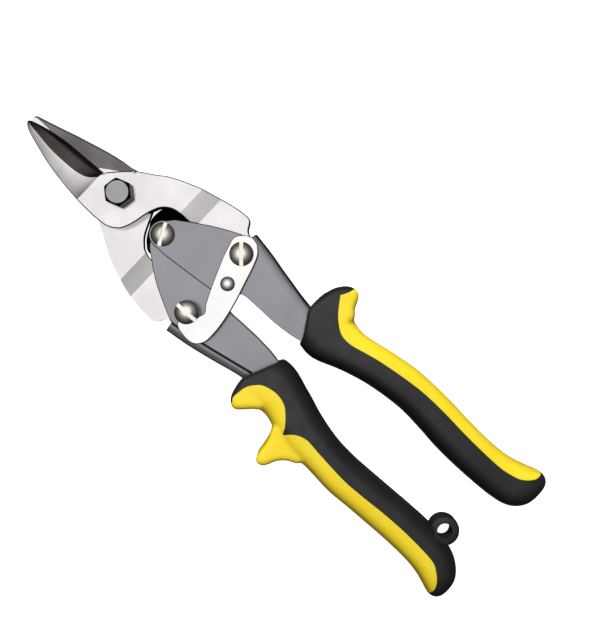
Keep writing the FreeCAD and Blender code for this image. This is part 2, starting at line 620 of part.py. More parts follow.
left_split = region(
    [(-88.5, 50.0), (-88.5, 28.5)],
    [(-88.5, 28.5), (-87.5, 27.0), (-87.7, 24.0), (-88.5, 20.5), (-90.5, 17.5), (-93.0, 15.5),
     (-97.0, 14.4), (-100.0, 14.3), (-104.0, 15.5), (-107.0, 18.0), (-110.0, 21.5)],
    [(-110.0, 21.5), (-110.9, 23.4), (-111.6, 24.2), (-112.2, 23.6), (-113.5, 22.0)],
    [(-113.5, 22.0), (-116.0, 20.2), (-120.0, 19.2), (-127.0, 19.8), (-140.0, 20.7),
     (-150.0, 20.3), (-160.0, 19.5), (-170.0, 19.1), (-180.0, 19.3), (-187.0, 20.0),
     (-190.0, 21.5), (-193.0, 24.0), (-195.0, 27.0), (-195.8, 30.8)],
    [(-195.8, 30.8), (-196.0, 50.0)],
    [(-196.0, 50.0), (-88.5, 50.0)],
)
right_split = region(
    [(-93.0, -50.0), (-93.0, -36.0)],
    [(-93.0, -36.0), (-92.0, -33.0), (-90.5, -30.3)],
    [(-90.5, -30.3), (-91.0, -29.7), (-92.5, -27.5), (-95.0, -24.3), (-98.0, -21.5),
     (-101.0, -19.6), (-104.0, -19.0), (-107.0, -19.2), (-110.0, -19.9), (-115.0, -21.2),
     (-120.0, -22.3), (-130.0, -23.9), (-140.0, -24.9), (-150.0, -24.9), (-160.0, -24.4),
     (-170.0, -24.1), (-180.0, -24.2), (-185.0, -24.9), (-190.0, -26.5), (-194.0, -30.0),
     (-196.0, -34.0)],
    [(-196.0, -34.0), (-196.4, -50.0)],
    [(-196.4, -50.0), (-93.0, -50.0)],
)
left_outer = slab(left_split, -GRIP_T, GRIP_T)
right_outer = slab(right_split, -GRIP_T, GRIP_T)
# the inlay is the one outer piece; moulding inside the channel stays with the black grip
left_grip_inlay = max(left_grip_all.common(left_outer).Solids, key=lambda s: s.Volume)
left_grip = left_grip_all.cut(left_grip_inlay)
right_grip_inlay = max(right_grip_all.common(right_outer).Solids, key=lambda s: s.Volume)
right_grip = right_grip_all.cut(right_grip_inlay)

# ---------------------------------------------------------------- output

NODES = {
    "front_blade": front_blade,
    "back_blade": back_blade,
    "pivot_bolt": pivot_bolt,
    "pivot_washer": pivot_washer,
    "pivot_lock_nut": pivot_lock_nut,
    "nut_insert": nut_insert,
    "left_handle_frame": left_handle_frame,
    "right_handle_frame": right_handle_frame,
    "handle_pivot_rivet": handle_pivot_rivet,
    "handle_pivot_bush": handle_pivot_bush,
    "left_tang_rivet": left_tang_rivet,
    "left_tang_bush": left_tang_bush,
    "latch_post_collar": latch_post_collar,
    "right_tang_rivet": right_tang_rivet,
    "right_tang_bush": right_tang_bush,
    "right_tang_spacers": right_tang_spacers,
    "latch_spring_washer": latch_spring_washer,
    "latch_plate": latch_plate,
    "return_spring": return_spring,
    "left_grip": left_grip,
    "left_grip_inlay": left_grip_inlay,
    "right_grip": right_grip,
    "right_grip_inlay": right_grip_inlay,
}

whole = Part.makeCompound(list(NODES.values())).optimalBoundingBox(True)
shift = FreeCAD.Vector(-(whole.XMin + whole.XMax) / 2, -(whole.YMin + whole.YMax) / 2, -whole.ZMin)
os.makedirs("parts", exist_ok=True)
for name, shape in NODES.items():
    shape.translate(shift)
    shape.exportStep("parts/" + name + ".step")
for label, p in (("P0", P0), ("P1", P1), ("P2", P2), ("P3", P3), ("EYE", EYE)):
    print(label, round(p[0] * K + shift.x, 4), round(p[1] * K + shift.y, 4), "z0", round(shift.z, 4))
print("size", round(whole.XLength, 3), round(whole.YLength, 3), round(whole.ZLength, 3))
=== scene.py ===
import json
import math

import bmesh
import bpy
from mathutils import Matrix, Vector


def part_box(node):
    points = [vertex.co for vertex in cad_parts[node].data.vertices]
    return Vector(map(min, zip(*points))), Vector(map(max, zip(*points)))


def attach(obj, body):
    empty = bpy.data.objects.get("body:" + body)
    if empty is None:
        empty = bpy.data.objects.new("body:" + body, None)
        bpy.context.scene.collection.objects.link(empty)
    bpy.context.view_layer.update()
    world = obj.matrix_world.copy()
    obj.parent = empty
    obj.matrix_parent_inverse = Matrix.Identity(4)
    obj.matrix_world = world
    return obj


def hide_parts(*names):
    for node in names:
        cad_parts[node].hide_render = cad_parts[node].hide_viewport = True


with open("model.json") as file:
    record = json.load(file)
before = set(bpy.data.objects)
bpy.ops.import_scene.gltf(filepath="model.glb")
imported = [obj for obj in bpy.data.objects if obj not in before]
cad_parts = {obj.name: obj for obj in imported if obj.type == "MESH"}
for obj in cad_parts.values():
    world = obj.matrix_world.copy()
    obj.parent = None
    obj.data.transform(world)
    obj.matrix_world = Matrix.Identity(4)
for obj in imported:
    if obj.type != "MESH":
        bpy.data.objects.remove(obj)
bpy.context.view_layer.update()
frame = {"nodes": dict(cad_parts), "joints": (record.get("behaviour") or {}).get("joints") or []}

# Shapes are drawn in millimetres about the main bolt, with X to the blade tips, +Y to the
# hooked handle and height zero where the two blades meet.
MM = 0.001
PIVOT = {j["name"]: Vector(j["pos_m"]) for j in frame["joints"]}
BOLT = PIVOT["front_blade_swing"]


def at(x, y, z=0.0):
    return BOLT + Vector((x, y, z)) * MM


def own(point):
    """A place in the row frame, in the drawing's millimetres."""
    return (Vector(point) - BOLT) / MM


P1 = own(PIVOT["handle_open"])
P2 = own(PIVOT["latch_swing"])
P3 = own(PIVOT["back_blade_swing"])


def levels(node):
    """Lowest and highest height of a CAD node."""
    low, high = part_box(node)
    return own(low).z, own(high).z


# ------------------------------------------------------------------ outlines


def smooth(points, step=0.6, closed=False):
    """Points every step mm or so on a Catmull-Rom curve through the given ones."""
    pts = [Vector(p) for p in points]
    count = len(pts)
    out = []
    spans = count if closed else count - 1
    for i in range(spans):
        if closed:
            a, b, c, d = (pts[(i + k) % count] for k in (-1, 0, 1, 2))
        else:
            b, c = pts[i], pts[i + 1]
            a = pts[i - 1] if i else b * 2 - c
            d = pts[i + 2] if i + 2 < count else c * 2 - b
        parts = max(1, round((c - b).length / step))
        for k in range(parts):
            t = k / parts
            out.append(
                0.5 * (2 * b + (c - a) * t + (2 * a - 5 * b + 4 * c - d) * t ** 2
                       + (3 * b - a - 3 * c + d) * t ** 3)
            )
    if not closed:
        out.append(pts[-1])
    return out


def outline(*runs):
    """Closed outline from runs, each smooth in itself, with a corner where two meet."""
    out = []
    for run in runs:
        points = smooth(run) if len(run) > 2 else [Vector(p) for p in run]
        for p in points:
            if not out or (p - out[-1]).length > 0.02:
                out.append(p)
    if (out[0] - out[-1]).length < 0.02:
        out.pop()
    return out


def arc(p, r, a0, a1, steps=12):
    turn = [math.radians(a0 + (a1 - a0) * n / steps) for n in range(steps + 1)]
    return [(p[0] + r * math.cos(a), p[1] + r * math.sin(a)) for a in turn]


def mirrored(points):
    return [(x, -y) for x, y in reversed(points)]


def along(table, x):
    """Row of values at x, on a smooth curve through the table's rows."""
    rows = sorted(table)
    k = max(1, min(len(rows) - 1, next((i for i, r in enumerate(rows) if r[0] >= x), len(rows) - 1)))
    b, c = rows[k - 1], rows[k]
    a = rows[k - 2] if k > 1 else b
    d = rows[k + 1] if k + 1 < len(rows) else c
    t = (x - b[0]) / (c[0] - b[0])
    values = []
    for n in range(1, len(b)):
        m0 = (c[n] - a[n]) / (c[0] - a[0])
        m1 = (d[n] - b[n]) / (d[0] - b[0])
        span = c[0] - b[0]
        values.append(
            (2 * t ** 3 - 3 * t ** 2 + 1) * b[n] + (t ** 3 - 2 * t ** 2 + t) * span * m0
            + (3 * t ** 2 - 2 * t ** 3) * c[n] + (t ** 3 - t ** 2) * span * m1
        )
    return values


# ------------------------------------------------------------------ mesh helpers


def plate(points, z0, z1, rim=0.0, segments=3):
    """Flat plate of that outline with rounded rims."""
    bm = bmesh.new()
    for p in points:
        bm.verts.new(at(p[0], p[1], z0))
    bm.verts.ensure_lookup_table()
    count = len(bm.verts)
    for n in range(count):
        bm.edges.new((bm.verts[n], bm.verts[(n + 1) % count]))
    bmesh.ops.contextual_create(bm, geom=bm.edges[:])
    raised = bmesh.ops.extrude_face_region(bm, geom=bm.faces[:])
    top = [v for v in raised["geom"] if isinstance(v, bmesh.types.BMVert)]
    bmesh.ops.translate(bm, verts=top, vec=Vector((0, 0, (z1 - z0) * MM)))
    bmesh.ops.recalc_face_normals(bm, faces=bm.faces[:])
    if rim:
        edges = [e for e in bm.edges if abs(e.verts[0].co.z - e.verts[1].co.z) < 1e-7]
        bevel(bm, edges, rim, segments)
    return bm


def soften(bm, z, width, test, segments=4, clamp=True):
    """Rounds the edges of a plate that lie at height z and pass the test."""
    edges = []
    for e in bm.edges:
        a, b = (own(v.co) for v in e.verts)
        if abs(a.z - z) < 1e-3 and abs(b.z - z) < 1e-3 and test((a + b) / 2):
            edges.append(e)
    bevel(bm, edges, width, segments, clamp)


def bevel(bm, edges, width, segments=2, clamp=True):
    bmesh.ops.bevel(
        bm, geom=edges, offset=width * MM, offset_type="OFFSET", segments=segments,
        profile=0.5, affect="EDGES", clamp_overlap=clamp, material=-1,
    )


def ring(bm, points):
    """Closed loop of edges through points given as row-frame places."""
    made = bmesh.ops.create_circle(bm, segments=len(points), radius=0.01)
    for v, p in zip(made["verts"], points):
        v.co = p
    return list({e for v in made["verts"] for e in v.link_edges})


def loft(sections):
    """Skin over closed sections that all have the same number of points."""
    bm = bmesh.new()
    loops = [ring(bm, s) for s in sections]
    for a, b in zip(loops, loops[1:]):
        bmesh.ops.bridge_loops(bm, edges=a + b)
    for end in (loops[0], loops[-1]):
        bmesh.ops.contextual_create(bm, geom=end)
    bmesh.ops.recalc_face_normals(bm, faces=bm.faces[:])
    return bm


def turned(p, profile, steps=64):
    """Shape turned about the upright axis through p; profile is (radius, height) pairs."""
    bm = bmesh.new()
    verts = [bm.verts.new(at(p[0] + r, p[1], z)) for r, z in profile]
    edges = [bm.edges.new(pair) for pair in zip(verts, verts[1:])]
    bmesh.ops.spin(
        bm, geom=verts + edges, cent=at(p[0], p[1]), axis=(0, 0, 1), angle=math.tau,
        steps=steps, use_merge=True, use_duplicate=False,
    )
    bmesh.ops.remove_doubles(bm, verts=bm.verts[:], dist=0.002 * MM)
    bmesh.ops.recalc_face_normals(bm, faces=bm.faces[:])
    return bm


def piece(bm, name, *materials):
    mesh = bpy.data.meshes.new(name)
    bm.to_mesh(mesh)
    bm.free()
    obj = bpy.data.objects.new(name, mesh)
    bpy.context.scene.collection.objects.link(obj)
    for m in materials:
        mesh.materials.append(m)
    return obj


def settle(obj):
    """Applies the modifiers."""
    bpy.context.view_layer.update()
    graph = bpy.context.evaluated_depsgraph_get()
    mesh = bpy.data.meshes.new_from_object(obj.evaluated_get(graph), depsgraph=graph)
    obj.modifiers.clear()
    obj.data = mesh
    return obj


def carve(obj, tool, operation, keep_tool=False):
    change = obj.modifiers.new("carve", "BOOLEAN")
    change.operation = operation
    change.object = tool
    change.solver = "EXACT"
    settle(obj)
    if not keep_tool:
        bpy.data.objects.remove(tool)
    return obj


def shaded(obj, angle=32.0):
    """Smooth shading between edges under the angle; large faces keep their own direction."""
    obj.data.shade_smooth()
    obj.data.set_sharp_from_angle(angle=math.radians(angle))
    weighted = obj.modifiers.new("weighted", "WEIGHTED_NORMAL")
    weighted.keep_sharp = True
    weighted.weight = 90
    return settle(obj)


def edged(obj, width, angle=34.0, segments=2, clamp=True):
    """Bevels every edge sharper than the angle."""
    rounding = obj.modifiers.new("rounding", "BEVEL")
    rounding.width = width * MM
    rounding.segments = segments
    rounding.limit_method = "ANGLE"
    rounding.angle_limit = math.radians(angle)
    rounding.use_clamp_overlap = clamp
    rounding.miter_outer = "MITER_ARC"
    return settle(obj)


def set_in(obj, body, slot, *nodes):
    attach(obj, body)
    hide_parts(*nodes)
    return obj


# ------------------------------------------------------------------ materials


def linear(code):
    """Linear colour from an sRGB hex value."""
    parts = [int(code[i:i + 2], 16) / 255 for i in (0, 2, 4)]
    return tuple(c / 12.92 if c <= 0.04045 else ((c + 0.055) / 1.055) ** 2.4 for c in parts) + (1.0,)


def add(tree, kind, links=None, stops=(), **settings):
    """Adds a node; links maps a socket's name or number to a value or another socket."""
    made = tree.nodes.new(kind)
    while stops and len(made.color_ramp.elements) < len(stops):
        made.color_ramp.elements.new(0.5)
    for n, (position, colour) in enumerate(stops):
        made.color_ramp.elements[n].position = position
        made.color_ramp.elements[n].color = colour
    for key, value in settings.items():
        setattr(made, key, value)
    for key, value in (links or {}).items():
        socket = made.inputs[key]
        if isinstance(value, bpy.types.NodeSocket):
            tree.links.new(value, socket)
        else:
            socket.default_value = value
    return made


def finish_of(name, metallic, **sockets):
    made = bpy.data.materials.new(name)
    made.use_nodes = True
    tree = made.node_tree
    shader = tree.nodes["Principled BSDF"]
    shader.inputs["Metallic"].default_value = metallic
    for key, value in sockets.items():
        shader.inputs[key.replace("_", " ")].default_value = value
    place = add(tree, "ShaderNodeTexCoord").outputs["Object"]
    return made, tree, shader, place


def grey(value):
    return (value, value, value, 1.0)


def metal(name, light, dark, rough, grain_mm, stretch=(1, 1, 1), bump=0.02, spread=0.08, patch_mm=14.0):
    """Bare metal: a broad mottling of two close tones, and grain that roughens and marks it."""
    made, tree, shader, place = finish_of(name, 1.0)
    patches = {"Vector": place, "Scale": 1 / (patch_mm * MM), "Detail": 2.0}
    broad = add(tree, "ShaderNodeTexNoise", patches).outputs["Fac"]
    tones = ((0.35, linear(dark)), (0.65, linear(light)))
    tone = add(tree, "ShaderNodeValToRGB", {"Fac": broad}, tones)
    tree.links.new(tone.outputs["Color"], shader.inputs["Base Color"])
    lined = add(tree, "ShaderNodeMapping", {"Vector": place, "Scale": stretch}).outputs[0]
    marks = {"Vector": lined, "Scale": 1 / (grain_mm * MM), "Detail": 3.0}
    grain = add(tree, "ShaderNodeTexNoise", marks).outputs["Fac"]
    limits = {"From Min": 0.3, "From Max": 0.7, "To Min": rough - spread / 2, "To Max": rough + spread / 2}
    gloss = add(tree, "ShaderNodeMapRange", {"Value": grain, **limits})
    tree.links.new(gloss.outputs["Result"], shader.inputs["Roughness"])
    relief = {"Height": grain, "Strength": 0.35, "Distance": bump * MM}
    tree.links.new(add(tree, "ShaderNodeBump", relief).outputs["Normal"], shader.inputs["Normal"])
    return made


SCUFFS = 0.07  # how far the scuffs move the roughness, either way


def moulded(name, main, shade, rough, grain_mm, bump):
    """Moulded grip: matte, with the fine pitting of a textured mould and faint scuffs."""
    made, tree, shader, place = finish_of(name, 0.0, IOR=1.5)
    patches = {"Vector": place, "Scale": 1 / (18 * MM), "Detail": 3.0}
    broad = add(tree, "ShaderNodeTexNoise", patches).outputs["Fac"]
    tones = ((0.3, linear(shade)), (0.7, linear(main)))
    tone = add(tree, "ShaderNodeValToRGB", {"Fac": broad}, tones)
    tree.links.new(tone.outputs["Color"], shader.inputs["Base Color"])
    pits = add(tree, "ShaderNodeTexVoronoi", {"Vector": place, "Scale": 1 / (grain_mm * MM)})
    scuffs = {"Vector": place, "Scale": 1 / (5 * MM), "Detail": 4.0}
    wear = add(tree, "ShaderNodeTexNoise", scuffs).outputs["Fac"]
    limits = {"From Min": 0.3, "From Max": 0.7, "To Min": rough - SCUFFS, "To Max": rough + SCUFFS}
    gloss = add(tree, "ShaderNodeMapRange", {"Value": wear, **limits})
    tree.links.new(gloss.outputs["Result"], shader.inputs["Roughness"])
    relief = {"Height": pits.outputs["Distance"], "Strength": 0.4, "Distance": bump * MM}
    tree.links.new(add(tree, "ShaderNodeBump", relief).outputs["Normal"], shader.inputs["Normal"])
    return made


# Forged tool steel, polished: nearly white, with faint lines along the blade.
BLADE = metal("polished forged steel", "F0ECED", "E4DFDF", 0.20, 0.35, (1, 9, 1), 0.008, 0.05)
# The same steel as ground: darker and duller, lined along the blade.
HOLLOW = metal("hollow ground bevel", "6E6968", "5A5553", 0.30, 0.30, (1, 8, 1), 0.015, 0.08)
SHEAR = metal("ground shear face", "85817F", "6C6867", 0.34, 0.30, (1, 8, 1), 0.015, 0.08)
# Pressed mild steel under satin plating: an even mid grey with a soft sheen.
CHANNEL = metal("satin plated channel", "A09EA4", "9A989E", 0.30, 0.25, (1, 1, 1), 0.004, 0.06)
# Near black for the sheets' sides and bevels: partly the darker sheared edge, partly painted shadow along the
# edges and under the latch. The channel's inside is black: painted shade.
EDGE_AND_SHADOW = metal("sheared sheet edge and painted shadow", "2B2A2C", "1E1D1F", 0.50, 0.25, (1, 1, 1), 0.01, 0.1)
INSIDE_SHADE = metal("channel inside, painted shade", "0E0D0F", "080709", 0.60, 0.3, (1, 1, 1), 0.01, 0.1)
# Bright plating on the rivet heads: a near mirror, a little warm, with slight ripples.
CHROME = metal("bright plated rivet", "FBF6EC", "F0E9DC", 0.05, 1.6, (1, 1, 1), 0.10, 0.03, 4.0)
# Plated and polished sheet: nearly white.
LATCH = metal("polished latch plate", "FBFAF9", "F4F2F1", 0.16, 0.5, (1, 1, 1), 0.004, 0.04)
# Black oxide on the bolt and nut; the flat top of the bolt's head is light grey.
OXIDE = metal("black oxide bolt steel", "2E2D2F", "232224", 0.34, 0.3, (1, 1, 1), 0.012, 0.1, 3.0)
BOLT_TOP = metal("light grey bolt head top", "A8AAAA", "A2A4A4", 0.30, 0.3, (1, 1, 1), 0.006, 0.06, 6.0)
# Turned bushes and washers, bare: mid grey. Spring wire is darker under its oil.
PLAIN = metal("plain turned steel", "A5A4A6", "8E8D8F", 0.32, 0.3, (1, 1, 1), 0.01, 0.1, 5.0)
SPRING = metal("oiled spring wire", "6E6D70", "4E4D50", 0.30, 0.4, (1, 1, 1), 0.01, 0.1, 5.0)
# Moulded grips: black rubber, near black, and yellow plastic that lets a little light in.
BLACK = moulded("black moulded rubber", "262527", "1D1C1E", 0.36, 0.35, 0.012)
YELLOW = moulded("yellow moulded plastic", "FFE134", "FFDA28", 0.40, 0.5, 0.008)
# Natural nylon: milky and faintly blue.
NYLON = moulded("natural nylon", "D9DEE6", "C6CCD6", 0.4, 0.6, 0.01)
GLOW_DEPTH = 2.2 * MM
yellow_sockets = YELLOW.node_tree.nodes["Principled BSDF"].inputs
yellow_sockets["Subsurface Weight"].default_value = 0.4
yellow_sockets["Subsurface Radius"].default_value = (1.0, 0.42, 0.06)
yellow_sockets["Subsurface Scale"].default_value = GLOW_DEPTH

# ------------------------------------------------------------------ blades

BLADE_T = 4.0
SEAM = 0.02  # each blade stops this far short of the plane where the two meet
JOGGLE = (-22.5, -30.5)  # the offset bend starts and ends here


def offset_bend(obj, side):
    """Steps everything behind the bend to the middle plane."""
    bm = bmesh.new()
    bm.from_mesh(obj.data)
    start, end = JOGGLE
    for x in (start + 0.5, start, start - 0.5, end + 0.5, end, end - 0.5):
        whole = bm.verts[:] + bm.edges[:] + bm.faces[:]
        bmesh.ops.bisect_plane(bm, geom=whole, plane_co=at(x, 0), plane_no=(1, 0, 0))
    for v in bm.verts:
        t = (start - own(v.co).x) / (start - end)
        t = max(0.0, min(1.0, t))
        ease = 0.06
        if t < ease:
            t = t * t / (2 * ease) if t > 0 else 0.0
        v.co.z -= side * t * BLADE_T / 2 * MM
    bm.to_mesh(obj.data)
    bm.free()
    return obj


STEEP = 0.26  # share of the hollow, next to the cutting edge, that stands steep


def ground_section(row, side):
    """Across the blade: steep at the cutting edge, easing to the ridge, crowned beyond it."""
    x, edge, ridge, outer, top = row
    land = 0.35  # upright strip above the cutting edge
    way = 1.0 if outer > edge else -1.0
    points = [(edge, SEAM), (edge, land)]
    for n in range(1, 11):
        t = n / 10
        rise = 0.50 * t / STEEP if t < STEEP else 0.50 + 0.50 * (t - STEEP) / (1 - STEEP)
        points.append((edge + (ridge - edge) * t, land + (top - land) * rise))
    brow = outer - way * 0.4
    fall = min(1.0, max(0.0, (x - 10.6) / 14.0)) * 0.16 * abs(brow - ridge)
    for n in range(1, 9):
        t = n / 8
        points.append((ridge + (brow - ridge) * t, top - fall * t ** 1.25))
    low = top - fall
    points += [(outer - way * 0.12, low - 0.12), (outer, low - 0.45)]
    points += [(outer, 0.46), (outer - way * 0.9, SEAM)] if side < 0 else [(outer, SEAM)]
    return [at(x, y, z * side) for y, z in points]


def ground(table, side, steps=70):
    lo = min(r[0] for r in table)
    hi = max(r[0] for r in table)
    rows = []
    for n in range(steps + 1):
        x = lo + (hi - lo) * (n / steps) ** 1.35
        rows.append([x] + along(table, x))
    return loft([ground_section(r, side) for r in rows])


def blade(name, body_outline, table, side, rims, others):
    low, high = sorted((SEAM * side, BLADE_T * side))
    bm = plate(body_outline, low, high)
    for test, width in rims:
        soften(bm, high if side > 0 else low, width, test, clamp=False)
    soften(bm, low if side > 0 else high, 0.3, lambda p: p.x < table[0][0] - 0.1, 2)
    blank = piece(bm, name, BLADE, *others)
    offset_bend(blank, side)
    tip = piece(ground(table, side), name + "_tip")
    carve(blank, tip, "UNION")
    return blank


FRONT_TABLE = [
    (10.0, -1.6, 0.2, 13.5, 4.0), (10.6, -1.5, 1.0, 13.45, 3.98), (12.0, -1.4, 2.5, 13.35, 3.72),
    (14.0, -1.25, 4.1, 13.25, 3.40), (16.5, -1.1, 5.1, 13.05, 3.10),
    (20.0, -0.9, 5.8, 12.7, 2.84), (25.0, -0.6, 6.1, 12.0, 2.78), (30.0, -0.3, 6.2, 11.0, 2.80),
    (35.0, 0.4, 5.9, 9.7, 2.70), (40.0, 1.3, 5.3, 8.3, 2.5), (44.0, 2.4, 4.8, 7.0, 2.25),
    (46.4, 3.15, 4.35, 5.7, 1.9), (47.3, 3.6, 4.15, 4.9, 1.5),
]
BACK_TABLE = [
    (9.0, 2.8, -1.0, -10.1, 3.8), (15.0, 0.6, -3.5, -8.9, 3.75), (20.0, 0.6, -3.4, -7.6, 3.6),
    (25.0, 0.9, -2.6, -6.2, 3.4), (30.0, 1.2, -1.8, -4.8, 3.15), (35.0, 1.9, -0.6, -3.2, 2.85),
    (40.0, 2.7, 0.6, -1.7, 2.5), (44.0, 3.2, 1.6, -0.5, 2.2), (46.6, 3.6, 2.2, 0.3, 2.0),
    (47.3, 3.5, 2.3, 0.9, 1.6),
]
TANG_R = 7.6
FRONT_OUTLINE = outline(
    [(10.6, 13.45), (5.0, 13.7), (0.0, 13.6), (-5.0, 12.9), (-9.0, 10.4), (-11.0, 7.0),
     (-12.2, 3.0), (-12.8, 0.0), (-14.0, -4.0), (-16.0, -7.5), (-20.0, -10.0), (-26.5, -10.5),
     (-35.0, -9.4), (-45.0, -8.6)],
    arc(P2, TANG_R, 66.0, 285.0),
    [(-47.4, -23.6), (-46.3, -24.6), (-45.4, -26.2), (-44.4, -27.5), (-43.0, -28.1),
     (-40.0, -28.0), (-35.0, -27.2), (-30.0, -26.0), (-20.0, -23.0), (-10.0, -18.6),
     (-5.0, -15.2), (0.0, -12.0), (2.0, -10.5), (5.0, -7.8), (8.0, -4.5), (10.6, -1.55)],
)
BACK_OUTLINE = outline(
    [(9.4, 2.6), (8.0, 4.5), (5.0, 7.8), (2.0, 10.8), (0.5, 13.6), (-5.0, 16.8), (-10.0, 19.7),
     (-15.0, 22.3), (-20.0, 24.2), (-25.0, 25.8), (-30.0, 26.8), (-35.0, 27.5), (-40.0, 27.9),
     (-43.0, 28.0), (-44.4, 27.5), (-45.4, 26.2), (-46.3, 24.6), (-47.4, 23.6)],
    mirrored(arc(P2, TANG_R, 66.0, 285.0)),
    [(-45.0, 8.6), (-35.0, 9.6), (-27.0, 11.0), (-22.0, 10.3), (-19.0, 8.0), (-17.0, 5.5),
     (-15.3, 2.0), (-13.6, -2.0), (-11.6, -6.4), (-8.4, -9.6), (-4.0, -11.6), (2.0, -11.3),
     (5.0, -10.6), (9.4, -10.1)],
)


def tinted(obj, slot_number, test):
    for face in obj.data.polygons:
        if test(own(face.center), face.normal):
            face.material_index = slot_number


def throat(p):
    return 2.0 < p.x < 10.5 and p.y < -1.6 and p.y < 1.3 * p.x - 12.0


front = blade(
    "front_blade_steel", FRONT_OUTLINE, FRONT_TABLE, 1,
    [(throat, 0.95), (lambda p: p.x < 10.5 and not throat(p), 0.75)], (HOLLOW, SHEAR),
)
carve(front, piece(plate(arc((0, 0), 3.05, 0, 352.5, 47), -3, 6), "hole"), "DIFFERENCE")
carve(front, piece(plate(arc(P2, 3.8, 0, 352.5, 47), -6, 6), "hole"), "DIFFERENCE")
back = blade(
    "back_blade_steel", BACK_OUTLINE, BACK_TABLE, -1, [(lambda p: p.x < 8.9, 0.75)], (HOLLOW, SHEAR),
)
carve(back, piece(plate(arc((0, 0), 3.0, 0, 352.5, 47), -6, 3), "hole"), "DIFFERENCE")
carve(back, piece(plate(arc(P3, 3.45, 0, 352.5, 47), -6, 6), "hole"), "DIFFERENCE")

# painted highlights: two patches of the flat shear face, at the tip and at the throat, keep the bright
# polished colour
TIP_HIGHLIGHT = (Vector((39.6, 0.95)), Vector((0.0, 1.0)))
THROAT_HIGHLIGHT = (Vector((14.2, -1.6)), Vector((-5.6, 8.2)).normalized())


def split_face(obj, highlight_line, x0, x1):
    bm = bmesh.new()
    bm.from_mesh(obj.data)
    near = [f for f in bm.faces if f.normal.z > 0.99 and any(x0 < own(v.co).x < x1 for v in f.verts)]
    geom = set(near)
    for f in near:
        geom.update(f.edges)
        geom.update(f.verts)
    spot, facing = highlight_line
    bmesh.ops.bisect_plane(
        bm, geom=list(geom), plane_co=at(spot.x, spot.y), plane_no=(facing.x, facing.y, 0.0),
    )
    bm.to_mesh(obj.data)
    bm.free()


# cut the flat shear face along the edges of the painted highlights
split_face(back, TIP_HIGHLIGHT, 39.0, 48.0)
split_face(back, THROAT_HIGHLIGHT, 0.0, 14.2)


def in_hollow(table, side):
    def test(p, n):
        if p.x < 10.0 or n.z * side < 0.2:
            return False
        edge, ridge = along(table, p.x)[:2]
        return min(edge, ridge) - 0.2 < p.y < max(edge, ridge) - 0.02
    return test


# ground shear face colour, except on the painted highlights at the tip and the throat
def on_shear(p, n):
    if n.z < 0.99 or p.x < 0.0 or p.z < -0.2:
        return False
    if p.x < 14.2:
        return (p.xy - THROAT_HIGHLIGHT[0]).dot(THROAT_HIGHLIGHT[1]) < 0
    return p.x < 39.6 or p.y < 0.95


tinted(front, 1, in_hollow(FRONT_TABLE, 1))
tinted(front, 1, lambda p, n: throat(p) and p.z > 3.0 and 0.1 < n.z < 0.97)
tinted(back, 1, in_hollow(BACK_TABLE, -1))
tinted(front, 2, lambda p, n: n.z < -0.99 and p.z < 0.2 and p.x > 8)
tinted(back, 2, on_shear)
for obj, body, node in ((front, "front_blade", "front_blade"), (back, "back_blade", "back_blade")):
    shaded(obj, 14.0)
    set_in(obj, body, "blade_steel", node)

# ------------------------------------------------------------------ main bolt


def hex_head(af, z0, z1, turn=20.0, per_side=6):
    """Hexagon with its corners crowned on the upper end."""
    corner = af / 2 / math.cos(math.radians(30))
    inner = af / 2 * 0.88
    low, high, cap = [], [], []
    for n in range(6 * per_side):
        k, part = divmod(n, per_side)
        ends = [math.radians(turn + 60 * (k + m)) for m in (0, 1)]
        a, b = (Vector((math.cos(e), math.sin(e))) * corner for e in ends)
        q = a.lerp(b, part / per_side)
        drop = (q.length - inner) * math.tan(math.radians(32))
        flat = q.normalized() * inner
        low.append(at(q.x, q.y, z0))
        high.append(at(q.x, q.y, z1 - drop))
        cap.append(at(flat.x, flat.y, z1))
    return loft([low, high, cap])


HEX_AF = 10.0
BOLT_R = 3.0
BOLT_END_R = 2.6  # the thread's end is chamfered to this
WASHER_FACE_R = 4.7
WASHER_FACE = 0.4
bolt_end, head_high = levels("pivot_bolt")
head_base = BLADE_T + 0.05
bolt = piece(hex_head(HEX_AF, head_base + WASHER_FACE, head_high), "pivot_bolt_steel", OXIDE, BOLT_TOP)
shank = turned((0, 0), [
    (0, bolt_end), (BOLT_END_R, bolt_end), (BOLT_R, bolt_end + 0.4), (BOLT_R, head_base),
    (WASHER_FACE_R, head_base), (WASHER_FACE_R, head_base + 0.41), (0, head_base + 0.41),
])
carve(bolt, piece(shank, "shank"), "UNION")
edged(bolt, 0.12, 20)
tinted(bolt, 1, lambda p, n: n.z > 0.98 and p.z > head_high - 0.05)
set_in(shaded(bolt, 25), "back_blade", "bolt_steel", "pivot_bolt")

# plain turned parts, fasteners and springs keep their CAD shape and get a finish
for finish, nodes in (
    (PLAIN, ("pivot_washer", "handle_pivot_bush", "left_tang_bush", "right_tang_bush",
             "right_tang_spacers", "latch_post_collar")),
    (OXIDE, ("pivot_lock_nut",)),
    (NYLON, ("nut_insert",)),
    (SPRING, ("latch_spring_washer", "return_spring")),
):
    for node in nodes:
        mesh = frame["nodes"][node].data
        mesh.materials.clear()
        mesh.materials.append(finish)

# ------------------------------------------------------------------ rivets


def head_profile(r, z, height, side, points=9):
    """From the rim to the crown of a domed head."""
    rim = height * 0.25
    cap = height - rim
    ball = (r * r + cap * cap) / (2 * cap)
    start = math.asin(r / ball)
    out = [(r, z)]
    for n in range(points):
        a = start * (1 - n / (points - 1))
        out.append((ball * math.sin(a), z + side * (height - ball + ball * math.cos(a))))
    return out


HEAD_R = 4.7
TAIL_R = 4.23
SHANK_R = 2.5
NECK_R = 2.0
SLOT_W = 1.5
SLOT_DEPTH = 1.5
SLOT_REACH = 6.0  # past the head's rim


